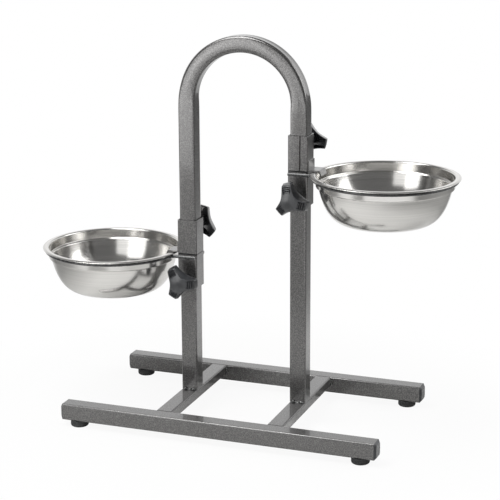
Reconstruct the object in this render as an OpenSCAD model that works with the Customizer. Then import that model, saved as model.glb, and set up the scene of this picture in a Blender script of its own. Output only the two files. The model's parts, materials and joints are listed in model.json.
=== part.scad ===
// Two-bowl dog feeder stand: a bent square-tube bow on a welded H base, with two height-adjustable
// bowl holders that are clamped to its legs by three-lobe hand screws.
// Units are millimetres. The floor is Z = 0, the rails run along X and the front is -Y.

/* [Base frame] */
// Width of the square steel tube of the rails and the bow
tube_w = 25; // [20:0.5:32]
// Wall of the steel tubes
tube_wall = 1.5; // [1:0.1:2.5]
// Outer corner radius of the steel tubes
tube_corner_r = 2.2; // [1.2:0.1:4]
// Length of each rail, without its end caps
rail_len = 487; // [420:1:620]
// Distance between the centre lines of the two rails
rail_spacing = 250; // [245:1:360]
// Height of the flat cross tubes, whose tops are level with the rails
cross_h = 15; // [10:0.5:19]
// Leg length of the fillet weld beads
weld_leg = 3.5; // [2:0.1:5]

/* [Bow] */
// Overall height, from the floor to the top of the bow
stand_h = 584; // [560:1:800]
// Distance between the centre lines of the two legs
leg_spacing = 175; // [140:1:260]

/* [Feet] */
// Diameter of the rubber feet
foot_d = 27; // [20:0.5:34]
// Height of the rubber feet
foot_h = 10; // [8:0.5:16]
// Radius of the lower edge of the feet
foot_edge_r = 3; // [1:0.1:4]
// Distance from a rail's end to the axis of its foot
foot_inset = 22.5; // [18:0.5:60]
// Shank diameter of the foot screws
foot_screw_d = 4; // [3:0.1:5]
// Head diameter of the foot screws
foot_screw_head_d = 8; // [7:0.1:10]
// Head height of the foot screws
foot_screw_head_h = 2.4; // [1.5:0.1:3]
// How far the screw heads are sunk above the floor
foot_screw_sink = 2.2; // [1:0.1:3]
// How far the screws reach into the rail
foot_screw_bite = 7; // [3:0.5:12]

/* [End caps] */
// Thickness of a cap's visible head
cap_head = 3.4; // [2.6:0.1:8]
// Bevel around a cap's head
cap_bevel = 3; // [0.5:0.1:3.2]
// How far the corners of a cap's face are turned down
cap_trim = 5.9; // [1.4:0.1:7]
// Length of the plug inside the tube
cap_plug_len = 14; // [8:0.5:20]
// Wall of the hollow plug
cap_plug_wall = 2; // [1.2:0.1:3]
// Gap between the plug and the tube, all round
cap_clear = 0.2; // [0.1:0.05:0.5]

/* [Sleeves] */
// Height of the four sheet-metal sleeves
sleeve_h = 52; // [46:1:70]
// Sheet thickness of the sleeves
sleeve_wall = 1.5; // [0.8:0.1:2]
// Gap between a sleeve and the leg, on each side
sleeve_clear = 1.25; // [0.4:0.05:1.6]
// Width of the butt seam where the folded sheet meets
seam_gap = 0.8; // [0.4:0.1:2]
// Distance from the middle of a sleeve's face to its seam
seam_shift = 3.5; // [0:0.1:6]
// Gap between a carrier sleeve and the lock sleeve that stands on it
sleeve_gap = 0.5; // [0.3:0.05:0.9]
// Distance from a sleeve's free end to its clamp screw
clamp_inset = 15; // [12:0.5:20]
// Height of the left bowl ring above the floor
left_ring_z = 247; // [110:1:400]
// Height of the right bowl ring above the floor
right_ring_z = 387; // [110:1:400]

/* [Bowl rings] */
// Diameter of the round rod
rod_d = 5; // [4:0.1:7]
// Distance from a carrier sleeve's top edge down to the rod's centre line
rod_drop = 4; // [3.5:0.1:12]
// Distance from a sleeve's inner edge to the end of the rod's tails
tail_inset = 1.5; // [0:0.1:8]
// Centre-line radius of the bends between the ring and its two tails
rod_bend_r = 12; // [8:0.5:20]
// Distance from the leg's axis to the bowl's axis
bowl_reach = 128; // [126:0.5:160]
// Gap between the bowl's neck and the ring
ring_clear = 1; // [0.5:0.1:2]
// Gap between the rim's curled edge and the rod that runs out under it
rim_seat_gap = 0.3; // [0.2:0.05:0.8]

/* [Bowls] */
// Outer diameter of the bowl's rim
rim_d = 217; // [180:1:220]
// Width of the flat rim
rim_w = 8.5; // [8.2:0.1:14]
// Radius of the curled edge of the rim
rim_curl_r = 0.9; // [0.8:0.05:2]
// Radius under the rim, where it turns into the neck
rim_fillet_r = 2; // [1:0.1:3]
// Sheet thickness of the bowl
bowl_wall = 0.8; // [0.5:0.05:1.5]
// Depth from the rim to the underside
bowl_depth = 69; // [55:1:90]
// Height of the straight neck under the rim
neck_h = 11; // [9:0.5:16]
// Width of the sloped step under the neck
step_w = 4; // [2:0.1:6]
// Slope of the wall from upright, in degrees
wall_slope = 18; // [5:0.5:20]
// Radius between the wall and the flat base
base_r = 32; // [15:1:36]

/* [Hooks] */
// Width of the hook plates
hook_w = 25; // [16:0.5:28]
// Thickness of the hook plates
hook_t = 1.8; // [1.2:0.1:3]
// Height of the pad that is welded to the lock sleeve
hook_pad_h = 14.5; // [8:0.5:25]
// Gap between the hook and the bowl's rim below it
hook_gap = 0.8; // [0.3:0.05:1]
// Gap between the rim's inner edge and the hook's lip
lip_gap = 2; // [1:0.1:5]
// Length of the down-turned lip
lip_len = 8; // [5:0.5:14]
// Angle of the lip below the plate, in degrees
lip_angle = 70; // [45:1:85]

/* [Clamp screws] */
// Diameter of the screw studs
stud_d = 8; // [6:0.1:10]
// Gap between a stud's tip and the leg when it is tight
stud_tip_gap = 0.2; // [0.1:0.05:0.5]
// Length of bare stud between the nut and the knob
stud_show = 9; // [4:0.1:12]
// How deep a stud sits in its knob
stud_grip = 13; // [8:0.5:15]
// Gap around a stud in its nut and in its knob
stud_clear = 0.2; // [0.1:0.05:0.4]
// Width across the flats of the weld nuts
nut_af = 13; // [12.5:0.1:17]
// Height of the weld nuts
nut_h = 6.5; // [5:0.1:9]

/* [Knobs] */
// Distance from a knob's axis to the flat end of a lobe, at its lower edge
lobe_reach = 27; // [23:0.1:30]
// Distance from the axis to the trimmed corners of a lobe, at its lower edge
lobe_corner_r = 27.5; // [23.4:0.1:31]
// How far a lobe's end leans in up to the height of the hub
knob_draft = 4.5; // [0:0.1:6]
// Width of a lobe at its end
lobe_w = 13; // [11:0.1:16]
// Distance from the axis to the waist between two lobes
waist_r = 14.6; // [12:0.1:16]
// Height of a lobe at its end
lobe_h = 9.5; // [6:0.1:11]
// Height of the domed hub above the lobes' lower edge
hub_h = 17; // [12:0.1:19]
// Wall of the hollow moulding
knob_wall = 2; // [1.5:0.1:2.6]
// Diameter of the boss under the hub
boss_d = 15; // [12.5:0.1:18]
// Length of the boss below the lobes
boss_h = 8; // [4:0.1:12]
// Number of grip ridges on each lobe
ridge_n = 4; // [2:1:5]
// Width of a grip ridge
ridge_w = 0.9; // [0.6:0.1:1.2]
// Height of a grip ridge
ridge_h = 0.6; // [0.3:0.1:1]
// Distance between grip ridges
ridge_pitch = 2.6; // [1.6:0.1:2.8]
// Turn of the left carrier's knob, in degrees
left_carrier_turn = 2; // [0:1:119]
// Turn of the right carrier's knob, in degrees
right_carrier_turn = 105; // [0:1:119]
// Turn of the left lock's knob, seen from behind, in degrees
left_lock_turn = 102; // [0:1:119]
// Turn of the right lock's knob, seen from behind, in degrees
right_lock_turn = 72; // [0:1:119]

/* [Hidden] */
$fn = 96;
// A cut runs past a face by this much
cut = 1;
LEFT = -1;
RIGHT = 1;
FRONT = -1;
BACK = 1;

PAINT = "#6f7071";
WELD = "#666768";
BLACK_RUBBER = "#1b1b1c";
BLACK_PLASTIC = "#2c2d30";
KNOB_PLASTIC = "#4a4c50";
STAINLESS = "#d4d6d8";
ZINC = "#b9bcbf";

// Base and bow
rail_y = rail_spacing / 2;
rail_z = foot_h;
rail_top = rail_z + tube_w;
cross_len = rail_spacing - tube_w;
leg_x = leg_spacing / 2;
leg_top = stand_h - tube_w / 2 - leg_x;
foot_x = rail_len / 2 - foot_inset;
foot_seat_h = foot_screw_sink + foot_screw_head_h;
foot_hole_clear = 0.2;
plug_corner_r = 1;
cap_corner_r = tube_w / sqrt(2);

// Sleeves, measured from the ring's height on the leg's axis
sleeve_in = tube_w + 2 * sleeve_clear;
sleeve_out = sleeve_in + 2 * sleeve_wall;
sleeve_in_r = 1;
carrier_z = rod_drop - sleeve_h;
carrier_clamp_z = carrier_z + clamp_inset;
lock_z = rod_drop + sleeve_gap;
lock_clamp_z = lock_z + sleeve_h - clamp_inset;

// Bowl and ring, measured from the ring's height
rim_r = rim_d / 2;
neck_r = rim_r - rim_w;
ring_r = neck_r + ring_clear + rod_d / 2;
rim_z = rod_d / 2 + rim_seat_gap + 2 * rim_curl_r;
rod_swell = 0.1;
tail_y = (sleeve_out + rod_d) / 2;
bend_reach = ring_r + rod_bend_r;
bend_y = tail_y + rod_bend_r;
bend_x = bowl_reach - sqrt(bend_reach * bend_reach - bend_y * bend_y);
bend_angle = asin(bend_y / bend_reach);
rim_turn_r = rim_fillet_r + bowl_wall;
rim_turn_c = [neck_r + rim_fillet_r, -rim_turn_r];
step_top = [neck_r, -neck_h];
step_end = [neck_r - step_w, -neck_h - step_w];
wall_normal = [cos(wall_slope), -sin(wall_slope)];
base_c = [step_end.x - (base_r + (bowl_depth - base_r + step_end.y) * sin(wall_slope)) / cos(wall_slope),
          base_r - bowl_depth];

// Where the wall would meet the base without the rounding between them
function base_corner(arc_r) = base_c + arc_r * [tan(45 - wall_slope / 2), -1];

// Hook
hook_z = rim_z + hook_gap;
hook_x = bowl_reach - sqrt(pow(neck_r - bowl_wall, 2) - pow(hook_w / 2, 2)) + lip_gap;

// Clamp screws, measured outwards from the leg's axis
nut_y = sleeve_out / 2;
knob_y = nut_y + nut_h + stud_show;
stud_tip_y = tube_w / 2 + stud_tip_gap;
stud_bore_d = stud_d + 2 * stud_clear;

// Knob: the waist between two lobes, seen along +X, is an arc through the corners of their ends
lobe_step = 120;
lobe_turn = lobe_step / 2;
lobe_top_reach = lobe_reach - knob_draft * lobe_h / hub_h;
lobe_corner = [lobe_reach * cos(lobe_turn) + lobe_w / 2 * sin(lobe_turn),
               lobe_reach * sin(lobe_turn) - lobe_w / 2 * cos(lobe_turn)];
waist_c = (pow(norm(lobe_corner), 2) - pow(waist_r, 2)) / (2 * (lobe_corner.x - waist_r));
dome_drop = hub_h - lobe_h;
dome_r = (pow(lobe_top_reach, 2) + pow(dome_drop, 2)) / (2 * dome_drop);
dome_z = boss_h + hub_h - dome_r;

// Profiles

module rounded_rect(w, h, r) {
    square([w - 2 * r, h], center = true);
    square([w, h - 2 * r], center = true);
    for (x = [-1, 1], y = [-1, 1])
        translate([x * (w / 2 - r), y * (h / 2 - r)])
            circle(r);
}

module tube_profile(w, h) {
    difference() {
        rounded_rect(w, h, tube_corner_r);
        rounded_rect(w - 2 * tube_wall, h - 2 * tube_wall, max(tube_corner_r - tube_wall, 0.3));
    }
}

module bead_profile() {
    intersection() {
        circle(weld_leg);
        square(weld_leg);
    }
}

// Base frame

module place_rail(y_side) {
    translate([0, y_side * rail_y, rail_z + tube_w / 2])
        children();
}

module rail(y_side) {
    color(PAINT)
        place_rail(y_side)
            difference() {
                rotate([90, 0, 90])
                    linear_extrude(rail_len, center = true)
                        tube_profile(tube_w, tube_w);
                for (x_side = [LEFT, RIGHT])
                    translate([x_side * foot_x, 0, -tube_w / 2 - cut])
                        cylinder(d = foot_screw_d + 2 * foot_hole_clear, h = tube_wall + 2 * cut);
            }
}

module cross_tube(x_side) {
    color(PAINT)
        translate([x_side * leg_x, 0, rail_top - cross_h / 2])
            rotate([90, 0, 0])
                linear_extrude(cross_len, center = true)
                    tube_profile(tube_w, cross_h);
}

// One tube, bent over a half circle between its two straight legs
module bow_tube() {
    color(PAINT) {
        for (x_side = [LEFT, RIGHT])
            translate([x_side * leg_x, 0, rail_top])
                linear_extrude(leg_top - rail_top)
                    tube_profile(tube_w, tube_w);
        translate([0, 0, leg_top])
            rotate([90, 0, 0])
                rotate_extrude(angle = 180)
                    translate([leg_x, 0])
                        tube_profile(tube_w, tube_w);
    }
}

// Upright bead in the corner between a cross tube's side and a rail
module corner_weld() {
    translate([tube_w / 2, -cross_len / 2, rail_top - cross_h + tube_corner_r])
        linear_extrude(cross_h - 2 * tube_corner_r)
            bead_profile();
}

// Bead along the foot of a leg, on top of the cross tube
module leg_weld() {
    translate([-tube_w / 2 + tube_corner_r, tube_w / 2, rail_top])
        rotate([90, 0, 90])
            linear_extrude(tube_w - 2 * tube_corner_r)
                bead_profile();
}

module frame_welds() {
    color(WELD)
        for (x_side = [LEFT, RIGHT])
            translate([x_side * leg_x, 0, 0])
                for (y_turn = [0, 1])
                    mirror([0, y_turn, 0]) {
                        leg_weld();
                        for (x_turn = [0, 1])
                            mirror([x_turn, 0, 0])
                                corner_weld();
                    }
}

// End caps

// Section through a cap's head, along X, with bevelled corners
module bevel_profile() {
    half = tube_w / 2;
    polygon([
        [0, -half], [cap_head - cap_bevel, -half], [cap_head, cap_bevel - half],
        [cap_head, half - cap_bevel], [cap_head - cap_bevel, half], [0, half]
    ]);
}

module cap_head_shape() {
    intersection() {
        rotate([90, 0, 90])
            linear_extrude(cap_head)
                rounded_rect(tube_w, tube_w, tube_corner_r);
        linear_extrude(tube_w, center = true)
            bevel_profile();
        rotate([90, 0, 0])
            linear_extrude(tube_w, center = true)
                bevel_profile();
        rotate([0, 90, 0])
            cylinder(r1 = cap_corner_r, r2 = cap_corner_r - cap_trim, h = cap_head);
    }
}

module cap_plug() {
    plug_w = tube_w - 2 * tube_wall - 2 * cap_clear;
    translate([-cap_plug_len, 0, 0])
        rotate([90, 0, 90])
            linear_extrude(cap_plug_len)
                difference() {
                    rounded_rect(plug_w, plug_w, plug_corner_r);
                    square(plug_w - 2 * cap_plug_wall, center = true);
                }
}

module end_cap(y_side, x_side) {
    color(BLACK_PLASTIC)
        place_rail(y_side)
            mirror([x_side == LEFT ? 1 : 0, 0, 0])
                translate([rail_len / 2, 0, 0]) {
                    cap_head_shape();
                    cap_plug();
                }
}

// Feet

module place_foot(y_side, x_side) {
    translate([x_side * foot_x, y_side * rail_y, 0])
        children();
}

module foot_profile() {
    foot_r = foot_d / 2;
    difference() {
        union() {
            translate([0, foot_edge_r])
                square([foot_r, foot_h - foot_edge_r]);
            square([foot_r - foot_edge_r, foot_h]);
            translate([foot_r - foot_edge_r, foot_edge_r])
                circle(foot_edge_r);
        }
        translate([0, -cut])
            square([foot_screw_d / 2 + foot_hole_clear, foot_h + 2 * cut]);
        translate([0, -cut])
            square([foot_screw_head_d / 2 + foot_hole_clear, foot_seat_h + cut]);
        translate([-foot_d, -cut])
            square([foot_d, foot_h + 2 * cut]);
    }
}

module foot(y_side, x_side) {
    color(BLACK_RUBBER)
        place_foot(y_side, x_side)
            rotate_extrude()
                foot_profile();
}

module foot_screws() {
    color(ZINC)
        for (y_side = [FRONT, BACK], x_side = [LEFT, RIGHT])
            place_foot(y_side, x_side) {
                translate([0, 0, foot_screw_sink])
                    cylinder(d = foot_screw_head_d, h = foot_screw_head_h);
                translate([0, 0, foot_seat_h])
                    cylinder(d = foot_screw_d, h = foot_h - foot_seat_h + foot_screw_bite);
            }
}

// Holders: what follows is drawn about the leg's axis at the ring's height, with +X away from the bow

module at_leg(x_side) {
    translate([x_side * leg_x, 0, x_side == LEFT ? left_ring_z : right_ring_z])
        children();
}

module holder(x_side) {
    at_leg(x_side)
        mirror([x_side == LEFT ? 1 : 0, 0, 0])
            children();
}

// Turns a shape that points along +Z so that it points out of the front or the back of a sleeve
module at_clamp(y_side, z) {
    translate([0, 0, z])
        rotate([90, 0, y_side == FRONT ? 0 : 180])
            children();
}

// Slot with a lead-in where the two edges of the folded sheet meet, in the +Y wall
module seam_profile() {
    slot = seam_gap / 2;
    lead = sleeve_wall / 2;
    polygon([
        [-slot, sleeve_in / 2 - cut], [slot, sleeve_in / 2 - cut], [slot, sleeve_out / 2 - lead],
        [slot + lead + cut, sleeve_out / 2 + cut], [-slot - lead - cut, sleeve_out / 2 + cut],
        [-slot, sleeve_out / 2 - lead]
    ]);
}

module sleeve(z, seam_turn, y_side, clamp_z) {
    difference() {
        translate([0, 0, z])
            linear_extrude(sleeve_h)
                difference() {
                    rounded_rect(sleeve_out, sleeve_out, sleeve_in_r + sleeve_wall);
                    rounded_rect(sleeve_in, sleeve_in, sleeve_in_r);
                    rotate(seam_turn)
                        translate([-seam_shift, 0])
                            seam_profile();
                }
        at_clamp(y_side, clamp_z)
            cylinder(d = stud_bore_d, h = sleeve_out / 2 + cut);
    }
}

// The carrier's seam is at the back, opposite its clamp screw
module carrier_sleeve(x_side) {
    color(PAINT)
        holder(x_side)
            sleeve(carrier_z, 0, FRONT, carrier_clamp_z);
}

// The right lock's seam shows at the front, and the left lock's is on the side of its hook
module lock_sleeve(x_side) {
    color(PAINT)
        holder(x_side)
            sleeve(lock_z, x_side == RIGHT ? 180 : -90, BACK, lock_clamp_z);
}

module rod_arc(radius, angle) {
    rotate_extrude(angle = angle)
        translate([radius, 0])
            circle(d = rod_d);
}

// One bent rod: a tail along each face of the sleeve, a bend out and the ring under the bowl's rim.
// A ball that is wider than the rod by a hair joins each two of its runs.
module bowl_ring(x_side) {
    tail_x = tail_inset - sleeve_out / 2;
    color(PAINT)
        holder(x_side) {
            translate([bowl_reach, 0, 0])
                rotate(bend_angle - 180)
                    rod_arc(ring_r, 360 - 2 * bend_angle);
            for (y_turn = [0, 1])
                mirror([0, y_turn, 0]) {
                    translate([bowl_reach, 0, 0] - ring_r * [cos(bend_angle), sin(bend_angle), 0])
                        sphere(d = rod_d + rod_swell);
                    translate([bend_x, -bend_y, 0])
                        rotate(bend_angle)
                            rod_arc(rod_bend_r, 90 - bend_angle);
                    translate([bend_x, -tail_y, 0])
                        sphere(d = rod_d + rod_swell);
                    translate([tail_x, -tail_y, 0])
                        rotate([0, 90, 0])
                            cylinder(d = rod_d, h = bend_x - tail_x);
                }
        }
}

// Hook plate: a pad on the lock sleeve, a plate out over the rim and a lip down inside the bowl
module hook_profile() {
    plate_x = sleeve_out / 2;
    translate([plate_x, hook_z])
        square([hook_t, hook_pad_h]);
    translate([plate_x, hook_z])
        square([hook_x - plate_x, hook_t]);
    translate([hook_x, hook_z]) {
        intersection() {
            circle(hook_t);
            rotate(-lip_angle / 2)
                translate([-2 * hook_t, 0])
                    square([4 * hook_t, 2 * hook_t]);
        }
        rotate(-lip_angle)
            square([lip_len, hook_t]);
    }
}

module hook(x_side) {
    color(PAINT)
        holder(x_side)
            rotate([90, 0, 0])
                linear_extrude(hook_w, center = true)
                    hook_profile();
}

// Bowls

function left_normal(a, b) = [a.y - b.y, b.x - a.x] / norm(b - a);

// Point of a path moved to its left by t, halfway between the normals of the two edges that meet there
function miter(a, b, c, t) =
    let (n1 = left_normal(a, b), n2 = left_normal(b, c))
    b + t * (n1 + n2) / (1 + n1 * n2);

// What rounding takes off a sharp corner whose arc starts at a and ends at b. It runs out past the corner.
module corner_off(a, corner, b, arc_c, arc_r) {
    difference() {
        polygon([a, corner + 0.2 * (corner - arc_c), b]);
        translate(arc_c)
            circle(arc_r);
    }
}

// The same for a square corner, which opens towards the quadrant that away points to
module square_corner_off(corner, away, r) {
    corner_off(corner + [away.x * r, 0], corner, corner + [0, away.y * r], corner + r * away, r);
}

module base_corner_off(arc_r) {
    corner_off(base_c + arc_r * wall_normal, base_corner(arc_r), base_c - [0, arc_r], base_c, arc_r);
}

// Half section of the bowl as if it were solid, with its rim
module bowl_outside() {
    curl = 2 * rim_curl_r;
    under = [rim_turn_c.x, -bowl_wall];
    corner = base_corner(base_r);
    difference() {
        polygon([
            [0, 0], [rim_r, 0], [rim_r, -curl], [rim_r - curl, -curl], [rim_r - curl, -bowl_wall],
            under, rim_turn_c, [neck_r, rim_turn_c.y], step_top, step_end, corner, [0, corner.y]
        ]);
        translate(rim_turn_c)
            circle(rim_fillet_r);
        square_corner_off([rim_r, 0], [-1, -1], rim_curl_r);
        square_corner_off([rim_r, -curl], [-1, 1], rim_curl_r);
        square_corner_off([rim_r - curl, -curl], [1, 1], rim_curl_r);
        base_corner_off(base_r);
    }
}

// Half section of the space inside the bowl
module bowl_inside() {
    arc_r = base_r - bowl_wall;
    corner = base_corner(arc_r);
    difference() {
        polygon([
            [0, cut], [neck_r - bowl_wall, cut],
            miter([neck_r, 0], step_top, step_end, -bowl_wall),
            miter(step_top, step_end, base_corner(base_r), -bowl_wall),
            corner, [0, corner.y]
        ]);
        base_corner_off(arc_r);
    }
}

module bowl(x_side) {
    color(STAINLESS)
        holder(x_side)
            translate([bowl_reach, 0, rim_z])
                rotate_extrude()
                    difference() {
                        bowl_outside();
                        bowl_inside();
                        corner_off([rim_turn_c.x, 0], [neck_r - bowl_wall, 0],
                                   [neck_r - bowl_wall, rim_turn_c.y], rim_turn_c, rim_turn_r);
                    }
}

// Clamp screws

module weld_nut(x_side, y_side, z) {
    color(ZINC)
        at_leg(x_side)
            at_clamp(y_side, z)
                translate([0, 0, nut_y])
                    difference() {
                        cylinder(d = nut_af / cos(30), h = nut_h, $fn = 6);
                        translate([0, 0, -cut])
                            cylinder(d = stud_bore_d, h = nut_h + 2 * cut);
                    }
}

module stud(x_side, y_side, z) {
    chamfer = stud_d / 8;
    color(ZINC)
        at_leg(x_side)
            at_clamp(y_side, z) {
                translate([0, 0, stud_tip_y])
                    cylinder(d1 = stud_d - 2 * chamfer, d2 = stud_d, h = chamfer);
                translate([0, 0, stud_tip_y + chamfer])
                    cylinder(d = stud_d, h = knob_y + stud_grip - stud_tip_y - chamfer);
            }
}

// The lobes under a domed top, with ends that lean in: the knob as if it were solid, or its hollow
module knob_body(inset) {
    end_r = lobe_reach - inset;
    corner_r = lobe_corner_r - inset;
    difference() {
        intersection() {
            translate([0, 0, boss_h])
                rotate(lobe_turn)
                    cylinder(r1 = 2 * end_r, r2 = 2 * (end_r - knob_draft), h = hub_h, $fn = 3);
            translate([0, 0, boss_h])
                cylinder(r1 = corner_r, r2 = corner_r - knob_draft, h = hub_h);
            translate([0, 0, dome_z])
                sphere(dome_r - inset);
        }
        for (turn = [lobe_turn : lobe_step : 360])
            rotate(turn)
                translate([waist_c, 0, 0])
                    cylinder(r = waist_c - waist_r + inset, h = boss_h + 2 * hub_h);
    }
}

module grip_ridges() {
    ridge_len = lobe_w - 2 * knob_wall;
    for (turn = [0 : lobe_step : 359], i = [0 : ridge_n - 1]) {
        reach = lobe_top_reach - knob_wall - i * ridge_pitch;
        top = dome_z + sqrt(pow(dome_r, 2) - pow(reach, 2));
        rotate(turn)
            translate([reach - ridge_w / 2, -ridge_len / 2, top - knob_wall / 2])
                cube([ridge_w, ridge_len, knob_wall / 2 + ridge_h]);
    }
}

module knob(x_side, y_side, z, turn) {
    color(KNOB_PLASTIC)
        at_leg(x_side)
            at_clamp(y_side, z)
                translate([0, 0, knob_y])
                    rotate(turn) {
                        difference() {
                            knob_body(0);
                            knob_body(knob_wall);
                            cylinder(d = boss_d, h = boss_h);
                        }
                        difference() {
                            cylinder(d = boss_d, h = boss_h + hub_h - knob_wall);
                            cylinder(d = stud_bore_d, h = stud_grip + stud_clear);
                        }
                        grip_ridges();
                    }
}

rail(FRONT);  // front_rail
rail(BACK);  // back_rail
cross_tube(LEFT);  // left_cross_tube
cross_tube(RIGHT);  // right_cross_tube
bow_tube();
frame_welds();
end_cap(FRONT, LEFT);  // front_left_end_cap
end_cap(FRONT, RIGHT);  // front_right_end_cap
end_cap(BACK, LEFT);  // back_left_end_cap
end_cap(BACK, RIGHT);  // back_right_end_cap
foot(FRONT, LEFT);  // front_left_foot
foot(FRONT, RIGHT);  // front_right_foot
foot(BACK, LEFT);  // back_left_foot
foot(BACK, RIGHT);  // back_right_foot
foot_screws();
carrier_sleeve(LEFT);  // left_carrier_sleeve
bowl_ring(LEFT);  // left_bowl_ring
weld_nut(LEFT, FRONT, carrier_clamp_z);  // left_carrier_nut
stud(LEFT, FRONT, carrier_clamp_z);  // left_carrier_stud
knob(LEFT, FRONT, carrier_clamp_z, left_carrier_turn);  // left_carrier_knob
lock_sleeve(LEFT);  // left_lock_sleeve
hook(LEFT);  // left_hook
weld_nut(LEFT, BACK, lock_clamp_z);  // left_lock_nut
stud(LEFT, BACK, lock_clamp_z);  // left_lock_stud
knob(LEFT, BACK, lock_clamp_z, left_lock_turn);  // left_lock_knob
bowl(LEFT);  // left_bowl
carrier_sleeve(RIGHT);  // right_carrier_sleeve
bowl_ring(RIGHT);  // right_bowl_ring
weld_nut(RIGHT, FRONT, carrier_clamp_z);  // right_carrier_nut
stud(RIGHT, FRONT, carrier_clamp_z);  // right_carrier_stud
knob(RIGHT, FRONT, carrier_clamp_z, right_carrier_turn);  // right_carrier_knob
lock_sleeve(RIGHT);  // right_lock_sleeve
hook(RIGHT);  // right_hook
weld_nut(RIGHT, BACK, lock_clamp_z);  // right_lock_nut
stud(RIGHT, BACK, lock_clamp_z);  // right_lock_stud
knob(RIGHT, BACK, lock_clamp_z, right_lock_turn);  // right_lock_knob
bowl(RIGHT);  // right_bowl
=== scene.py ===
"""Looks of the two-bowl dog feeder stand: its finishes, the pieces that are shaped finer than the solids
(clamp screws, hand knobs, bowls, weld beads and the bow), and the floor, light and camera.

Points are in metres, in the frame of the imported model: +X along the rails towards the higher bowl, +Y to
the back, +Z up from the floor. Outlines, sections and profiles are drawn in millimetres.
"""

import json
import math

import bmesh
import bpy
import numpy as np
from mathutils import Matrix, Vector


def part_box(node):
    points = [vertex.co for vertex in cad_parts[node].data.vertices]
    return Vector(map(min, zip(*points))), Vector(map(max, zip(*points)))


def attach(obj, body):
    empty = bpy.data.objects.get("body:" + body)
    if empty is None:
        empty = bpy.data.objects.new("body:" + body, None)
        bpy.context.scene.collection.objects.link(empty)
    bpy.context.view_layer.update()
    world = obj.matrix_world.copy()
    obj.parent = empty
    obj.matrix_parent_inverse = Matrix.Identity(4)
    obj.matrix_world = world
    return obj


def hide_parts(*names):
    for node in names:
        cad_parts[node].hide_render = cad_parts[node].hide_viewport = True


MM = 0.001
PER_METRE = 1000.0  # a pattern of n millimetres has a scale of PER_METRE / n
WHITE = (1.0, 1.0, 1.0, 1.0)

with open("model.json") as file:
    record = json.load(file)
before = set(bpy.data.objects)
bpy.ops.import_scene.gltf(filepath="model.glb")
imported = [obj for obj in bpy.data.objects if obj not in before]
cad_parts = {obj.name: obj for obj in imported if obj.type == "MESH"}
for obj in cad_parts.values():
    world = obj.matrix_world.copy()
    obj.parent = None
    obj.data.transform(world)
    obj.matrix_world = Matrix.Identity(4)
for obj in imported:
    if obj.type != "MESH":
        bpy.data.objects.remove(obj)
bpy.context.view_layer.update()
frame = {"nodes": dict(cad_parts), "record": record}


# Small tools

def linear(hex_colour):
    """An sRGB hex colour as linear red, green, blue and alpha."""
    channels = [int(hex_colour[i:i + 2], 16) / 255 for i in (1, 3, 5)]
    return [c / 12.92 if c <= 0.04045 else ((c + 0.055) / 1.055) ** 2.4 for c in channels] + [1.0]


def add_node(tree, kind, sockets=None, **settings):
    """Adds a shader node. A socket's value is a constant, or the output that is linked to it."""
    made = tree.nodes.new("ShaderNode" + kind)
    for name, value in settings.items():
        setattr(made, name, value)
    for socket, value in (sockets or {}).items():
        if isinstance(value, bpy.types.NodeSocket):
            tree.links.new(value, made.inputs[socket])
        else:
            made.inputs[socket].default_value = value
    return made


def new_finish(name, **sockets):
    """A material with its shader's constant sockets set, and the two things its nodes hang on."""
    finish = bpy.data.materials.new(name)
    finish.use_nodes = True
    shader = finish.node_tree.nodes["Principled BSDF"]
    for socket, value in sockets.items():
        shader.inputs[socket.replace("_", " ")].default_value = value
    return finish, finish.node_tree, shader


def new_piece(name, points, faces, finish):
    """A mesh piece from points in metres, faces outwards. It is smooth apart from its sharp edges."""
    sharp_edge = math.radians(50)
    mesh = bpy.data.meshes.new(name)
    mesh.from_pydata([tuple(p) for p in points], [], faces)
    shell = bmesh.new()
    shell.from_mesh(mesh)
    bmesh.ops.recalc_face_normals(shell, faces=shell.faces)
    shell.to_mesh(mesh)
    shell.free()
    mesh.polygons.foreach_set("use_smooth", [True] * len(mesh.polygons))
    mesh.set_sharp_from_angle(angle=sharp_edge)
    mesh.materials.append(finish)
    mesh.update()
    piece = bpy.data.objects.new(name, mesh)
    bpy.context.scene.collection.objects.link(piece)
    return piece


def skin_faces(rows, around):
    """Faces of a closed skin: quads between rows of points, each row a ring, and a flat face on both ends."""
    faces = []
    for row in range(rows - 1):
        here = row * around
        above = here + around
        for spot in range(around):
            after = (spot + 1) % around
            faces.append([here + spot, here + after, above + after, above + spot])
    first_ring = list(range(around))
    last_ring = [(rows - 1) * around + spot for spot in first_ring]
    return faces + [first_ring[::-1], last_ring]


def smooth_step(value, low, high):
    """An eased step from 0 at low to 1 at high. Low may be the larger of the two."""
    share = np.clip((value - low) / (high - low), 0, 1)
    return share * share * (3 - 2 * share)


def dress(piece, body, slot, *nodes):
    """Makes a piece ride on a body, in place of CAD nodes. Its slot is not used."""
    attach(piece, body)
    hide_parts(*nodes)


def paint(node, finish):
    """Gives a CAD node a finish. Its mesh stays as it is."""
    for material_slot in frame["nodes"][node].material_slots:
        material_slot.material = finish


# Finishes

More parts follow.
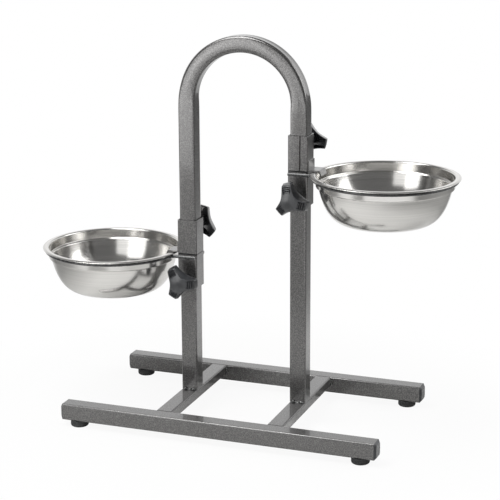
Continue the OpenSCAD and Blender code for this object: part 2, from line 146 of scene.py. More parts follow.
def hammertone_enamel(name, gap_shade=None):
    """Hammertone enamel on steel: sprayed resin with aluminium flake, which draws up into small dimples.
    The flake gives a dark, half metallic grey with a fine speckle, and the clear resin over it a wet gloss.
    Near one end it can be darkened by painted shade, which stands in for the shadow in the gap where two
    sleeves meet: given as two shares of the height, fully dark, then none."""
    dimple = 1.5  # from one dimple to the next
    clump = 0.7  # single flakes are too fine to show, so clumps of them are drawn
    relief_depth = 0.12 * MM
    finish, tree, shader = new_finish(name, Metallic=0.85, Coat_Weight=1.0, Coat_Roughness=0.06)
    place = add_node(tree, "TexCoord").outputs["Object"]
    dimples = add_node(tree, "TexVoronoi", {"Vector": place, "Scale": PER_METRE / dimple, "Smoothness": 0.6},
                       feature="SMOOTH_F1")
    flake = add_node(tree, "TexNoise", {"Vector": place, "Scale": PER_METRE / clump, "Detail": 2.0})
    speckle = add_node(tree, "Math", {0: dimples.outputs["Distance"], 1: flake.outputs["Fac"]},
                       operation="MULTIPLY")
    greys = add_node(tree, "ValToRGB", {"Fac": speckle.outputs["Value"]})
    greys.color_ramp.elements[0].position = 0.06
    greys.color_ramp.elements[0].color = linear("#4b4a4a")
    greys.color_ramp.elements[1].position = 0.42
    greys.color_ramp.elements[1].color = linear("#7d7c7b")
    gloss = add_node(tree, "MapRange", {"Value": flake.outputs["Fac"], "To Min": 0.22, "To Max": 0.38})
    relief = add_node(tree, "Bump", {"Height": dimples.outputs["Distance"], "Strength": 0.25,
                                     "Distance": relief_depth})
    colour = greys.outputs["Color"]
    # Painted shade: a near-black band at one end of a sleeve, for the shadow in the gap between the two
    # sleeves of a clamp
    if gap_shade:
        bare, unshaded = gap_shade
        painted_shade_colour = linear("#141414")
        height = add_node(tree, "SeparateXYZ", {0: add_node(tree, "TexCoord").outputs["Generated"]})
        edge = add_node(tree, "MapRange", {"Value": height.outputs["Z"], "From Min": unshaded,
                                           "From Max": bare})
        gap_shaded = add_node(tree, "MixRGB", {"Fac": edge.outputs["Result"], "Color1": colour, "Color2": painted_shade_colour})
        colour = gap_shaded.outputs["Color"]
    tree.links.new(colour, shader.inputs["Base Color"])
    tree.links.new(gloss.outputs["Result"], shader.inputs["Roughness"])
    tree.links.new(relief.outputs["Normal"], shader.inputs["Normal"])
    return finish


def shaded_rod_enamel():
    """The same enamel on thin rod, drawn nearly black: its darkness is painted shade for the shadow under the
    bowls' rims.
    It is very glossy, and only its highlights stand out."""
    cloud = 6.0  # width of a thinner or thicker patch
    finish, tree, shader = new_finish("shaded_rod_enamel", Metallic=0.3, Coat_Weight=1.0, Coat_Roughness=0.05)
    place = add_node(tree, "TexCoord").outputs["Object"]
    film = add_node(tree, "TexNoise", {"Vector": place, "Scale": PER_METRE / cloud, "Detail": 3.0})
    # Near-black greys: painted shade for the shadow under the bowls' rims
    greys = add_node(tree, "ValToRGB", {"Fac": film.outputs["Fac"]})
    greys.color_ramp.elements[0].position = 0.3
    greys.color_ramp.elements[0].color = linear("#242525")
    greys.color_ramp.elements[1].position = 0.7
    greys.color_ramp.elements[1].color = linear("#3a3b3b")
    gloss = add_node(tree, "MapRange", {"Value": film.outputs["Fac"], "To Min": 0.2, "To Max": 0.34})
    tree.links.new(greys.outputs["Color"], shader.inputs["Base Color"])
    tree.links.new(gloss.outputs["Result"], shader.inputs["Roughness"])
    return finish


def shaded_weld_enamel():
    """The same enamel over a weld bead, drawn glossier and a little darker: the darkness is painted shade for
    the corner the bead lies in.
    """
    pool = 1.6  # width of a pool, which is one ripple
    relief_depth = 0.2 * MM
    finish, tree, shader = new_finish("shaded_weld_enamel", Metallic=0.8, Roughness=0.26, Coat_Weight=1.0,
                                      Coat_Roughness=0.05)
    place = add_node(tree, "TexCoord").outputs["Object"]
    pools = add_node(tree, "TexNoise", {"Vector": place, "Scale": PER_METRE / pool, "Detail": 3.0})
    # Greys darker than the tubes' enamel: painted shade for the corner the bead lies in
    greys = add_node(tree, "ValToRGB", {"Fac": pools.outputs["Fac"]})
    greys.color_ramp.elements[0].position = 0.35
    greys.color_ramp.elements[0].color = linear("#3e3f3e")
    greys.color_ramp.elements[1].position = 0.65
    greys.color_ramp.elements[1].color = linear("#6c6d6c")
    relief = add_node(tree, "Bump", {"Height": pools.outputs["Fac"], "Strength": 0.2,
                                     "Distance": relief_depth})
    tree.links.new(greys.outputs["Color"], shader.inputs["Base Color"])
    tree.links.new(relief.outputs["Normal"], shader.inputs["Normal"])
    return finish


def moulded_finish(name, dark, light, rough_low, rough_high, grain, depth, skin=0.0):
    """A moulded plastic or rubber: its tool's eroded grain breaks up the gloss and lightens the high spots.
    A plastic also has a skin of clear resin, which shines at the edges. Grain and depth are in mm."""
    cloud = 14.0  # width of the patches that the melt leaves as it flows
    finish, tree, shader = new_finish(name, Coat_Weight=skin, Coat_Roughness=0.18)
    place = add_node(tree, "TexCoord").outputs["Object"]
    grit = add_node(tree, "TexNoise", {"Vector": place, "Scale": PER_METRE / grain, "Detail": 2.0})
    flow = add_node(tree, "TexNoise", {"Vector": place, "Scale": PER_METRE / cloud, "Detail": 2.0})
    tone = add_node(tree, "Math", {0: grit.outputs["Fac"], 1: flow.outputs["Fac"]}, operation="MULTIPLY")
    colours = add_node(tree, "ValToRGB", {"Fac": tone.outputs["Value"]})
    colours.color_ramp.elements[0].position = 0.12
    colours.color_ramp.elements[0].color = linear(dark)
    colours.color_ramp.elements[1].position = 0.42
    colours.color_ramp.elements[1].color = linear(light)
    gloss = add_node(tree, "MapRange", {"Value": flow.outputs["Fac"], "To Min": rough_low,
                                        "To Max": rough_high})
    relief = add_node(tree, "Bump", {"Height": grit.outputs["Fac"], "Strength": 0.3, "Distance": depth * MM})
    tree.links.new(colours.outputs["Color"], shader.inputs["Base Color"])
    tree.links.new(gloss.outputs["Result"], shader.inputs["Roughness"])
    tree.links.new(relief.outputs["Normal"], shader.inputs["Normal"])
    return finish


def bright_zinc():
    """Bright zinc plating on drawn steel: a cool silver that is nearly a mirror, with a faint cloud."""
    cloud = 14.0  # width of a cloud
    finish, tree, shader = new_finish("bright_zinc", Metallic=1.0)
    place = add_node(tree, "TexCoord").outputs["Object"]
    clouds = add_node(tree, "TexNoise", {"Vector": place, "Scale": PER_METRE / cloud, "Detail": 2.0})
    silver = add_node(tree, "ValToRGB", {"Fac": clouds.outputs["Fac"]})
    silver.color_ramp.elements[0].position = 0.3
    silver.color_ramp.elements[0].color = linear("#bcbfc2")
    silver.color_ramp.elements[1].position = 0.7
    silver.color_ramp.elements[1].color = linear("#d2d4d6")
    gloss = add_node(tree, "MapRange", {"Value": clouds.outputs["Fac"], "To Min": 0.1, "To Max": 0.18})
    tree.links.new(silver.outputs["Color"], shader.inputs["Base Color"])
    tree.links.new(gloss.outputs["Result"], shader.inputs["Roughness"])
    return finish


def polished_stainless():
    """Stainless sheet, drawn to a bowl and polished on a spindle: near mirror, with faint rings round its
    axis. The polishing rings are finer than a pixel, so they are drawn about 1.2 mm apart."""
    ring_pitch = 1.2
    relief_depth = 0.02 * MM
    finish, tree, shader = new_finish("polished_stainless", Metallic=1.0)
    place = add_node(tree, "TexCoord").outputs["Generated"]
    from_axis = add_node(tree, "VectorMath", {0: place, 1: (0.5, 0.5, 0.0)}, operation="SUBTRACT")
    parts = add_node(tree, "SeparateXYZ", {0: from_axis.outputs["Vector"]})
    flat = add_node(tree, "CombineXYZ", {0: parts.outputs["X"], 1: parts.outputs["Y"]})
    radius = add_node(tree, "VectorMath", {0: flat.outputs["Vector"]}, operation="LENGTH")
    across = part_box("left_bowl")[1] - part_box("left_bowl")[0]
    ring_place = add_node(tree, "CombineXYZ", {0: radius.outputs["Value"], 1: parts.outputs["Z"]})
    sized = add_node(tree, "VectorMath", {0: ring_place.outputs["Vector"], 1: (across.x, across.z, 0.0)},
                     operation="MULTIPLY")
    rings = add_node(tree, "TexNoise", {"Vector": sized.outputs["Vector"], "Scale": PER_METRE / ring_pitch,
                                        "Detail": 3.0})
    steel = add_node(tree, "ValToRGB", {"Fac": rings.outputs["Fac"]})
    steel.color_ramp.elements[0].position = 0.3
    steel.color_ramp.elements[0].color = linear("#d1d0cd")
    steel.color_ramp.elements[1].position = 0.7
    steel.color_ramp.elements[1].color = linear("#e4e2df")
    gloss = add_node(tree, "MapRange", {"Value": rings.outputs["Fac"], "To Min": 0.13, "To Max": 0.2})
    relief = add_node(tree, "Bump", {"Height": rings.outputs["Fac"], "Strength": 0.015,
                                     "Distance": relief_depth})
    tree.links.new(steel.outputs["Color"], shader.inputs["Base Color"])
    tree.links.new(gloss.outputs["Result"], shader.inputs["Roughness"])
    tree.links.new(relief.outputs["Normal"], shader.inputs["Normal"])
    return finish


enamel = hammertone_enamel("hammertone_enamel")
# The two sleeves of a clamp meet at the lower edge of the one and the upper edge of the other; painted shade
# darkens both ends there, for the shadow in the gap between them
lower_gap_shade_enamel = hammertone_enamel("lower_gap_shade_enamel", (0.014, 0.022))
upper_gap_shade_enamel = hammertone_enamel("upper_gap_shade_enamel", (0.986, 0.978))
shaded_ring_enamel = shaded_rod_enamel()
weld = shaded_weld_enamel()
zinc = bright_zinc()
stainless = polished_stainless()
# Polyethylene end caps: injection moulded, with a satin grain and a thin waxy skin
cap_plastic = moulded_finish("moulded_polyethylene", "#232528", "#3a3c40", rough_low=0.3, rough_high=0.42,
                             grain=0.9, depth=0.08, skin=0.25)
# Rubber feet: compression moulded, dull, with a faint grey bloom
foot_rubber = moulded_finish("moulded_rubber", "#292a2b", "#444546", rough_low=0.62, rough_high=0.82,
                             grain=1.2, depth=0.1)
# Glass-filled nylon knobs: moulded in a spark-eroded tool, satin grey-black under a skin that shines
knob_nylon = moulded_finish("glass_filled_nylon", "#1c1d20", "#34363a", rough_low=0.24, rough_high=0.36,
                            grain=0.8, depth=0.05, skin=0.8)

finish_of_slot = {
    "hammertone_paint": enamel,
    "weld_bead": weld,
    "black_plastic": cap_plastic,
    "black_rubber": foot_rubber,
    "knob_plastic": knob_nylon,
    "zinc_steel": zinc,
    "stainless": stainless,
}
own_finishes = {
    "bowl_ring": shaded_ring_enamel,
    "lock_sleeve": lower_gap_shade_enamel,
    "carrier_sleeve": upper_gap_shade_enamel,
}
for part in frame["record"]["subparts"]:
    paint(part["node"], finish_of_slot[part["material_slot"]])
for piece, finish in own_finishes.items():
    for side in ("left", "right"):
        paint(f"{side}_{piece}", finish)


# Clamp screws: a thread in place of each plain stud

def threaded_stud(name, node, body):
    """An M8 thread as long as the stud, with the stud's chamfered tip. The tip is the end nearer the leg."""
    pitch = 1.25 * MM
    thread_depth = 0.65 * MM
    chamfer = 1.0 * MM
    flank_slope = 1.35
    crest_flat = 0.12
    per_pitch = 10
    around = 36
    low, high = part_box(node)
    crest = (high.x - low.x) / 2
    length = high.y - low.y
    rows = int(round(length / pitch * per_pitch)) + 1
    along = np.linspace(0, length, rows)
    turn = np.linspace(0, 2 * math.pi, around, endpoint=False)
    phase = (along[:, None] / pitch - turn[None, :] / (2 * math.pi)) % 1.0
    flank = np.clip(np.abs(2 * phase - 1) * flank_slope - crest_flat, 0, 1)
    radius = crest - thread_depth * flank
    from_tip = along if abs(low.y) < abs(high.y) else length - along
    radius = np.minimum(radius, crest - chamfer + from_tip[:, None])
    middle = (low + high) / 2
    points = np.stack([middle.x + radius * np.sin(turn), np.repeat((low.y + along)[:, None], around, 1),
                       middle.z + radius * np.cos(turn)], 2).reshape(-1, 3)
    dress(new_piece(name, points, skin_faces(rows, around), zinc), body, "zinc_steel", node)


# Hand knobs: moulded three-lobe shells with rounded edges

LOBE_STEP = 2 * math.pi / 3  # from the middle of one lobe to the next


def knob_outline(turn):
    """Axis to lower edge of a knob, at angles from a lobe's middle: flat ends, eased corners, hollows."""
    reach = 27.0  # axis to a lobe's flat end
    half_width = 7.3  # of that end
    corner = 27.5  # axis to its eased corners
    waist = 15.6  # axis to the hollow between two lobes
    sharpness = 46.0  # of the blend between end, corner and hollow
    lobe = np.abs((turn + LOBE_STEP / 2) % LOBE_STEP - LOBE_STEP / 2)
    end = reach / np.cos(lobe)
    corner_x = reach * 0.5 + half_width * math.sqrt(0.75)
    centre = (reach ** 2 + half_width ** 2 - waist ** 2) / (2 * (corner_x - waist))
    hollow = centre - waist
    from_waist = LOBE_STEP / 2 - lobe
    inside = np.maximum(hollow ** 2 - (centre * np.sin(from_waist)) ** 2, 0)
    side = centre * np.cos(from_waist) - np.sqrt(inside)
    return (end ** -sharpness + corner ** -sharpness + side ** -sharpness) ** (-1 / sharpness)


def grip_ridges(radius, turn):
    """Height of the ridges that are moulded across each lobe's top, and depth of the grooves beside them."""
    count = 4
    first = 22.5  # axis to the outermost ridge
    pitch = 2.6
    width = 1.3
    height = 0.6
    groove = 1.2
    half_length = 5.6
    run_out = 0.5  # at both ends of a ridge
    lobe = (turn + LOBE_STEP / 2) % LOBE_STEP - LOBE_STEP / 2
    along = radius * np.cos(lobe)
    across = np.abs(radius * np.sin(lobe))
    ridge = sum(np.clip(1.5 - 2 * np.abs(along - first + i * pitch) / width, 0, 1) for i in range(count))
    grooved = (smooth_step(along, first - 3.5 * pitch, first - 3.2 * pitch)
               * smooth_step(along, first + 1.1, first + 0.7))
    on_top = smooth_step(across, half_length, half_length - run_out)
    return (height * ridge - groove * (1 - ridge) * grooved) * on_top


def moulded_knob(name, node, stud, body, lobe_degrees):
    """A hollow knob as one closed skin: over the dome, down the leaning wall, up inside it and down the boss.
    Heights are from the lobes' lower edge."""
    around = 180
    hub = 17.0  # height of the dome's middle
    lobe_top = 24.485  # axis to the place where the dome has come down to the lobes' height
    lobe_height = 9.5
    draft = 3.2  # how far the wall leans in over the height of the hub
    wall = 2.0
    edge = 1.2  # round of the upper edge
    lip = 0.5  # round of the lower edge
    rim_guess = 11.0  # height from which the place where wall and dome meet is worked out
    boss_r = 7.5
    boss_len = 8.0
    boss_chamfer = 0.8
    bore_r = 4.2
    bore_len = 13.1
    bore_middle = 0.1
    drop = hub - lobe_height
    dome_r = (lobe_top ** 2 + drop ** 2) / (2 * drop)
    turn = np.linspace(0, 2 * math.pi, around, endpoint=False)
    foot = knob_outline(turn)

    def dome(radius):
        return hub - dome_r + np.sqrt(dome_r ** 2 - radius ** 2)

    def lean(height):
        return foot - draft * height / hub

    rim = lean(dome(lean(rim_guess)))
    rows = []
    for share in np.concatenate([np.linspace(0.02, 0.3, 5), np.linspace(0.32, 1, 54)]):
        radius = share * (rim - edge)
        rows.append((radius, dome(radius) + grip_ridges(radius, turn)))
    for angle in np.radians([25, 50, 72, 90]):
        rows.append((rim - edge + edge * np.sin(angle), dome(rim - edge) - edge * (1 - np.cos(angle))))
    top = rows[-1][1]
    for share in (0.7, 0.35):
        rows.append((lean(top * share), top * share))
    rows.append((foot, np.full(around, lip)))
    rows.append((foot - 0.3 * lip, np.full(around, 0.3 * lip)))
    rows.append((foot - lip, np.zeros(around)))
    rows.append((foot - wall, np.zeros(around)))
    ceiling = dome(rim - wall) - wall
    rows.append((lean(ceiling) - wall, ceiling))
    for share in (0.7, 0.35, 0.0):
        radius = boss_r + share * (lean(ceiling) - wall - boss_r)
        rows.append((radius, dome(radius) - wall))
    for radius, height in ((boss_r, boss_chamfer - boss_len), (boss_r - boss_chamfer, -boss_len),
                           (bore_r, -boss_len), (bore_r, bore_len - boss_len),
                           (bore_middle, bore_len - boss_len)):
        rows.append((np.full(around, radius), np.full(around, height)))
    low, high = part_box(node)
    stud_low, stud_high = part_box(stud)
    axis = (stud_low + stud_high) / 2
    out = -1.0 if low.y < 0 else 1.0
    seat = high.y if out < 0 else low.y
    angles = turn + math.radians(lobe_degrees)
    points = [(axis.x - out * r * MM * math.cos(a), seat + out * (h + boss_len) * MM,
               axis.z + r * MM * math.sin(a))
              for radius, height in rows for r, h, a in zip(radius, height, angles)]
    knob = new_piece(name, points, skin_faces(len(rows), around), knob_nylon)
    dress(knob, body, "knob_plastic", node)


knob_turns = {"left_carrier": 2, "right_carrier": 105, "left_lock": 102, "right_lock": 72}
for clamp, degrees in knob_turns.items():
    threaded_stud(f"{clamp}_thread", f"{clamp}_stud", f"{clamp}_screw")
    moulded_knob(f"{clamp}_grip", f"{clamp}_knob", f"{clamp}_stud", f"{clamp}_handle", degrees)


# Bowls: pressed sheet with a rounded rim, a soft step and a wall that curves into the base

def curved_path(corners):
    """Points along a path of corners. A corner is a radius, a height, and how far before and after it the
    curve round it runs."""
    long_curve = 20.0
    many = 30
    few = 7
    spots = [np.array(corner[:2]) for corner in corners]
    path = [spots[0]]
    for i in range(1, len(corners) - 1):
        before, after = corners[i][2:]
        to_last = spots[i - 1] - spots[i]
        to_next = spots[i + 1] - spots[i]
        start = spots[i] + to_last / np.linalg.norm(to_last) * before
        end = spots[i] + to_next / np.linalg.norm(to_next) * after
        for share in np.linspace(0, 1, many if max(before, after) > long_curve else few):
            path.append((1 - share) ** 2 * start + 2 * share * (1 - share) * spots[i] + share ** 2 * end)
    return path + [spots[-1]]


def pressed_bowl(name, node, body):
    """A bowl as one closed skin: up the outside, over the rim and down the inside. Heights are from the
    rim's top."""
    around = 160
    outside = [(0.4, -69.0, 0, 0), (84.5, -69.0, 29.5, 51.5), (96.3, -16.6, 0.7, 0.8),
               (100.0, -15.4, 0.9, 0.9), (100.0, -0.8, 2.0, 2.0), (106.2, -0.8, 3.0, 2.0)]
    rim = [(108.5, -1.8, 0.4, 0.35), (108.5, -1.0, 0.35, 0.5)]
    inside = [(106.2, 0.0, 2.0, 3.0), (99.2, 0.0, 2.8, 2.8), (99.2, -14.8, 0.8, 0.8),
              (95.6, -16.0, 1.0, 0.7), (83.8, -68.2, 51.2, 29.0), (0.4, -68.2, 0, 0)]
    profile = curved_path(outside + rim + inside)
    low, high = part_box(node)
    middle = (low + high) / 2
    turn = np.linspace(0, 2 * math.pi, around, endpoint=False)
    points = [(middle.x + r * MM * math.cos(a), middle.y + r * MM * math.sin(a), high.z + z * MM)
              for r, z in profile for a in turn]
    bowl = new_piece(name, points, skin_faces(len(profile), around), stainless)
    dress(bowl, body, "stainless", node)


pressed_bowl("left_pressed_bowl", "left_bowl", "left_bowl")
pressed_bowl("right_pressed_bowl", "right_bowl", "right_bowl")


# Weld beads: rippled fillets at the legs' feet and in the corners of the base

def weld_bead(start, end, up, out):
    """Points and faces of one fillet: a quarter round whose puddles overlap like coins pushed over.
    It is fattest near its two ends, where the tacks were that held the tubes for welding."""
    leg = 4.4 * MM  # of the fillet, at the tacks
    ripple = 0.35 * MM
    pitch = 1.7 * MM  # from one puddle to the next
    swept = 0.35  # how far a puddle's middle runs ahead, as a share of the pitch
    end_round = 0.7 * leg
    blunt = 0.12  # of the round ends
    tacks = (0.2, 0.8)  # shares of the length
    tack_width = 0.13
    thin = 0.4  # height away from the tacks, as a share of the full height
    per_pitch = 6
    across = 9
    start, end, up, out = (np.array(v) for v in (start, end, up, out))
    length = np.linalg.norm(end - start)
    along = np.linspace(0, length, int(length / pitch) * per_pitch)
    angle = np.linspace(0, math.pi / 2, across)
    to_end = np.minimum(along, length - along)
    ease = np.sqrt(np.clip(1 - (1 - np.clip(to_end / end_round, 0, 1)) ** 2, blunt, 1))
    fat = sum(np.exp(-((along / length - tack) / tack_width) ** 2) for tack in tacks)
    ease = ease * (thin + (1 - thin) * fat)
    points = []
    for s, e in zip(along, ease):
        puddle = np.abs(np.sin(math.pi * (s / pitch + swept * np.sin(2 * angle))))
        radius = (leg - ripple * (1 - puddle)) * e
        base = start + (end - start) * s / length
        points.append(base)
        points.extend(base + r * (math.cos(a) * out + math.sin(a) * up) for r, a in zip(radius, angle))
    return points, skin_faces(len(along), across + 1)


def weld_beads():
    """All beads as one piece: one before and one behind each leg's foot, and two at each end of each cross
    tube."""
    tube_round = 2.2 * MM
    front_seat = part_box("front_rail")[1].y
    back_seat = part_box("back_rail")[0].y
    points, faces = [], []
    for cross in ("left_cross_tube", "right_cross_tube"):
        low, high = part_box(cross)
        half = (high.x - low.x) / 2
        for y_way, seat in ((-1, front_seat), (1, back_seat)):
            runs = [((low.x + tube_round, y_way * half, high.z), (high.x - tube_round, y_way * half, high.z),
                     (0, 0, 1), (0, y_way, 0))]
            runs += [((x, seat, low.z + tube_round), (x, seat, high.z - tube_round),
                      (0, -y_way, 0), (x_way, 0, 0))
                     for x, x_way in ((low.x, -1), (high.x, 1))]
            for run in runs:
                bead_points, bead_faces = weld_bead(*run)
                faces += [[i + len(points) for i in face] for face in bead_faces]
                points += bead_points
    beads = new_piece("weld_beads", points, faces, weld)
    dress(beads, "frame", "weld_bead", "frame_welds")


weld_beads()


# Bow: the bent tube, whose walls give way in the bend

def bow_section(corner, crown, dip):
    """A square tube's section as (away from the bend's centre, across). The side faces of the bend are
    crowned, and its outer face is drawn in along the middle."""
    half = 12.5
    per_corner = 6
    per_face = 8
    flat = half - corner
    quarter = [(flat + corner * math.cos(a), flat + corner * math.sin(a))
               for a in np.linspace(0, math.pi / 2, per_corner)]
    quarter += [(v, half) for v in np.linspace(flat, -flat, per_face + 2)[1:-1]]
    section = []
    for _ in range(4):
        section += quarter
        quarter = [(-y, x) for x, y in quarter]
    away, across = np.array(section).T
    sunk = dip * np.clip(away / half, 0, 1) ** 4 * (1 - (across / half) ** 2)
    drawn_in = crown * (away / half) ** 2 * np.clip(np.abs(across) / half, 0, 1) * np.sign(across)
    return away - sunk, across - drawn_in


def bent_bow():
    """One tube along both legs and the half circle between them. Its section changes over a short blend at
    both ends of the bend."""
    tube_corner = 2.2
    more_in_bend = 2.0  # round of the corners
    bend_crown = 1.4
    bend_dip = 0.8
    blend = 26 * MM
    low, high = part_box("bow_tube")
    half_tube = (high.y - low.y) / 2
    radius = (high.x - low.x) / 2 - half_tube
    spring = high.z - half_tube - radius
    leg = spring - low.z
    arc = math.pi * radius
    marks = [0.0, leg - blend, leg + blend, leg + arc - blend, leg + arc + blend, 2 * leg + arc]
    counts = [5, 13, 55, 13, 5]
    stops = [stop for start, end, count in zip(marks, marks[1:], counts)
             for stop in np.linspace(start, end, count, endpoint=False)] + [marks[-1]]
    points = []
    for stop in stops:
        bent = float(smooth_step(stop, leg - blend / 2, leg + blend)
                     * smooth_step(stop, leg + arc + blend / 2, leg + arc - blend))
        away, across = bow_section(tube_corner + more_in_bend * bent, bend_crown * bent, bend_dip * bent)
        swing = np.clip((stop - leg) / radius, 0, math.pi)
        below = max(leg - stop, stop - leg - arc, 0.0)
        reach = radius + away * MM
        points += [(-r * math.cos(swing), y * MM, spring + r * math.sin(swing) - below)
                   for r, y in zip(reach, across)]
    bow = new_piece("bent_bow", points, skin_faces(len(stops), len(away)), enamel)
    dress(bow, "frame", "hammertone_paint", "bow_tube")


bent_bow()


# Floor, light and camera

def white_floor():
    """A white table top in a greyer room. It keeps the stand's shadow and runs out into the white background.
    Metal also shows white papers on it: one behind the stand, and two in front of it with a bare strip
    between them, which is what the legs mirror."""
    finish, tree, shader = new_finish("white_floor", Roughness=0.9, Specular_IOR_Level=0.1)
    light = add_node(tree, "LightPath")
    mirrored = add_node(tree, "Math", {0: light.outputs["Is Glossy Ray"],
                                       1: light.outputs["Is Transmission Ray"]}, operation="MAXIMUM")
    place = add_node(tree, "TexCoord").outputs["Object"]
    parts = add_node(tree, "SeparateXYZ", {0: place})
    # The paper behind starts at the back rail, and its right edge is a little to the right of the right leg
    behind = add_node(tree, "MapRange", {"Value": parts.outputs["Y"], "From Min": 0.15, "From Max": 0.45,
                                         "To Max": 0.72})
    to_right = add_node(tree, "VectorMath", {0: place, 1: (1.0, -0.2, 0.0)}, operation="DOT_PRODUCT")
    left_of_edge = add_node(tree, "MapRange", {"Value": to_right.outputs["Value"], "From Min": 0.145,
                                               "From Max": 0.172, "To Min": 1.0, "To Max": 0.0},
                            interpolation_type="SMOOTHSTEP")
    back_paper = add_node(tree, "Math", {0: behind.outputs["Result"], 1: left_of_edge.outputs["Result"]},
                          operation="MULTIPLY")
    # The bare strip between the front papers runs from the stand out to the front left
    in_front = add_node(tree, "MapRange", {"Value": parts.outputs["Y"], "From Min": -0.5, "From Max": -0.7})
    across = add_node(tree, "VectorMath", {0: place, 1: (1.0, -0.363, 0.0)}, operation="DOT_PRODUCT")
    off_middle = add_node(tree, "Math", {0: across.outputs["Value"], 1: 0.02}, operation="SUBTRACT")
    from_middle = add_node(tree, "Math", {0: off_middle.outputs["Value"]}, operation="ABSOLUTE")
    off_strip = add_node(tree, "MapRange", {"Value": from_middle.outputs["Value"], "From Min": 0.17,
                                            "From Max": 0.27}, interpolation_type="SMOOTHSTEP")
    front_papers = add_node(tree, "Math", {0: in_front.outputs["Result"], 1: off_strip.outputs["Result"]},
                            operation="MULTIPLY")
    papers = add_node(tree, "Math", {0: back_paper.outputs["Value"], 1: front_papers.outputs["Value"]},
                      operation="MAXIMUM")
    backdrop = add_node(tree, "Math", {0: mirrored.outputs["Value"], 1: papers.outputs["Value"]},
                        operation="MULTIPLY")
    seen = add_node(tree, "Math", {0: light.outputs["Is Camera Ray"], 1: backdrop.outputs["Value"]},
                    operation="MAXIMUM")
    # Painted pool of light: the table top's colour is lightest round a point beside the stand and gets greyer
    # away from it
    from_light = add_node(tree, "VectorMath", {0: place, 1: (0.1, 0.0, 0.0)}, operation="SUBTRACT")
    far = add_node(tree, "VectorMath", {0: from_light.outputs["Vector"]}, operation="LENGTH")
    table = add_node(tree, "ValToRGB", {"Fac": far.outputs["Value"]})
    table.color_ramp.elements[0].position = 0.45
    table.color_ramp.elements[0].color = linear("#f2f2f1")
    table.color_ramp.elements[1].position = 0.75
    table.color_ramp.elements[1].color = linear("#b4b4b3")
    tree.links.new(table.outputs["Color"], shader.inputs["Base Color"])
    # Under the stand a little of the table top's own shade stays in the white, which is the shadow
    from_stand = add_node(tree, "VectorMath", {0: place}, operation="LENGTH")
    run_out = add_node(tree, "MapRange", {"Value": from_stand.outputs["Value"], "From Min": 0.25,
                                          "From Max": 0.55, "To Min": 0.92, "To Max": 1.0},
                       interpolation_type="SMOOTHSTEP")
    share = add_node(tree, "Math", {0: seen.outputs["Value"], 1: run_out.outputs["Result"]},
                     operation="MULTIPLY")
    white = add_node(tree, "Emission", {"Color": WHITE, "Strength": 1.0})
    mixed = add_node(tree, "MixShader", {"Fac": share.outputs["Value"], 1: shader.outputs["BSDF"],
                                         2: white.outputs["Emission"]})
    tree.links.new(mixed.outputs["Shader"], tree.nodes["Material Output"].inputs["Surface"])
    return finish


def add_floor():
    half = 12.0
    floor = new_piece("floor", [(-half, -half, 0), (half, -half, 0), (half, half, 0), (-half, half, 0)],
                      [[0, 1, 2, 3]], white_floor())


def add_studio_world():
    """White to the camera. Metal sees that white low behind the stand, and a dim room elsewhere."""
    world = bpy.data.worlds.new("studio")
    bpy.context.scene.world = world
    world.use_nodes = True
    tree = world.node_tree
    light = add_node(tree, "LightPath")
    mirrored = add_node(tree, "Math", {0: light.outputs["Is Glossy Ray"],
                                       1: light.outputs["Is Transmission Ray"]}, operation="MAXIMUM")
    heading = add_node(tree, "TexCoord").outputs["Generated"]
    parts = add_node(tree, "SeparateXYZ", {0: heading})
    behind = add_node(tree, "MapRange", {"Value": parts.outputs["Y"], "From Min": -0.15, "From Max": 0.4},
                      interpolation_type="SMOOTHSTEP")
    low = add_node(tree, "MapRange", {"Value": parts.outputs["Z"], "From Min": 0.28, "From Max": 0.6,
                                      "To Min": 1.0, "To Max": 0.0}, interpolation_type="SMOOTHSTEP")
    screen = add_node(tree, "Math", {0: low.outputs["Result"], 1: behind.outputs["Result"]},
                      operation="MULTIPLY")
    backdrop = add_node(tree, "Math", {0: mirrored.outputs["Value"], 1: screen.outputs["Value"]},
                        operation="MULTIPLY")
    seen = add_node(tree, "Math", {0: light.outputs["Is Camera Ray"], 1: backdrop.outputs["Value"]},
                    operation="MAXIMUM")
    dim = add_node(tree, "MapRange", {"Value": behind.outputs["Result"], "To Min": 0.15, "To Max": 0.3})
    room = tree.nodes["Background"]
    tree.links.new(dim.outputs["Result"], room.inputs["Strength"])
    room.inputs["Color"].default_value = WHITE
    white = add_node(tree, "Background", {"Color": WHITE, "Strength": 1.0})
    mixed = add_node(tree, "MixShader", {"Fac": seen.outputs["Value"], 1: room.outputs["Background"],
                                         2: white.outputs["Background"]})
    tree.links.new(mixed.outputs["Shader"], tree.nodes["World Output"].inputs["Surface"])


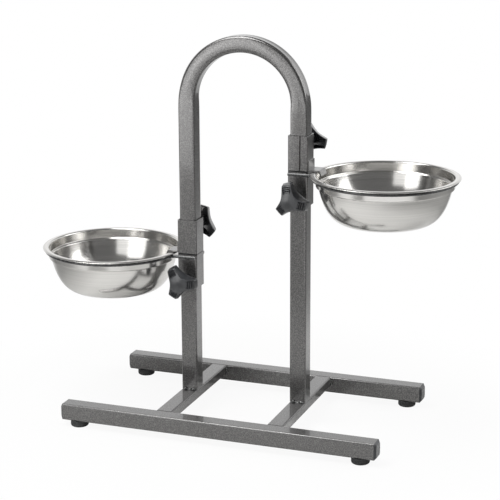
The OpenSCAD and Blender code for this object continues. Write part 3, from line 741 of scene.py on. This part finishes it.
def add_softbox(name, place, aim, width, height, watts, spread):
    """A rectangular lamp at a place, turned to an aim. Its spread is in degrees."""
    lamp = bpy.data.lights.new(name, "AREA")
    lamp.shape = "RECTANGLE"
    lamp.size = width
    lamp.size_y = height
    lamp.energy = watts
    lamp.spread = math.radians(spread)
    box = bpy.data.objects.new(name, lamp)
    box.location = place
    box.rotation_mode = "QUATERNION"
    box.rotation_quaternion = (Vector(aim) - Vector(place)).to_track_quat("-Z", "Y")
    bpy.context.scene.collection.objects.link(box)


def add_camera():
    """The photograph's view, from the fit of its straight edges. Its picture is 500 pixels square."""
    picture = 500.0
    focal_pixels = 1695.6
    turn = math.radians(20.42)
    rise = math.radians(15.10)
    roll = math.radians(-0.25)
    distance = 2.5225
    target = Vector((0.01098, -0.0080, 0.26488))
    lens = bpy.data.cameras.new("camera")
    lens.sensor_width = 36.0
    lens.lens = focal_pixels / picture * lens.sensor_width
    lens.clip_start = 0.05
    lens.clip_end = 60.0
    camera = bpy.data.objects.new("camera", lens)
    back = Vector((math.sin(turn) * math.cos(rise), -math.cos(turn) * math.cos(rise), math.sin(rise)))
    right = (-back).cross(Vector((0, 0, 1))).normalized()
    up = right.cross(-back)
    rolled_right = right * math.cos(roll) + up * math.sin(roll)
    rolled_up = up * math.cos(roll) - right * math.sin(roll)
    camera.matrix_world = Matrix.Translation(target + back * distance) @ Matrix(
        (rolled_right, rolled_up, back)).transposed().to_4x4()
    bpy.context.scene.collection.objects.link(camera)
    bpy.context.scene.camera = camera


add_floor()
add_studio_world()
add_softbox("top_softbox", place=(-0.4, -0.4, 1.35), aim=(-0.05, -0.15, 0.0), width=0.8, height=0.8,
            watts=6.0, spread=120)
add_softbox("front_softbox", place=(-0.84, -1.3, 0.63), aim=(-0.84, 0.0, 0.63), width=0.96, height=1.1,
            watts=5.5, spread=180)
add_softbox("high_softbox", place=(-0.25, -1.25, 0.65), aim=(-0.25, 0.0, 0.65), width=0.95, height=0.7,
            watts=2.0, spread=180)
add_softbox("right_softbox", place=(1.25, 0.5, 1.0), aim=(0.4, 0.3, 0.0), width=1.3, height=1.1,
            watts=9.5, spread=180)
add_camera()
bpy.context.scene.view_settings.view_transform = "Standard"
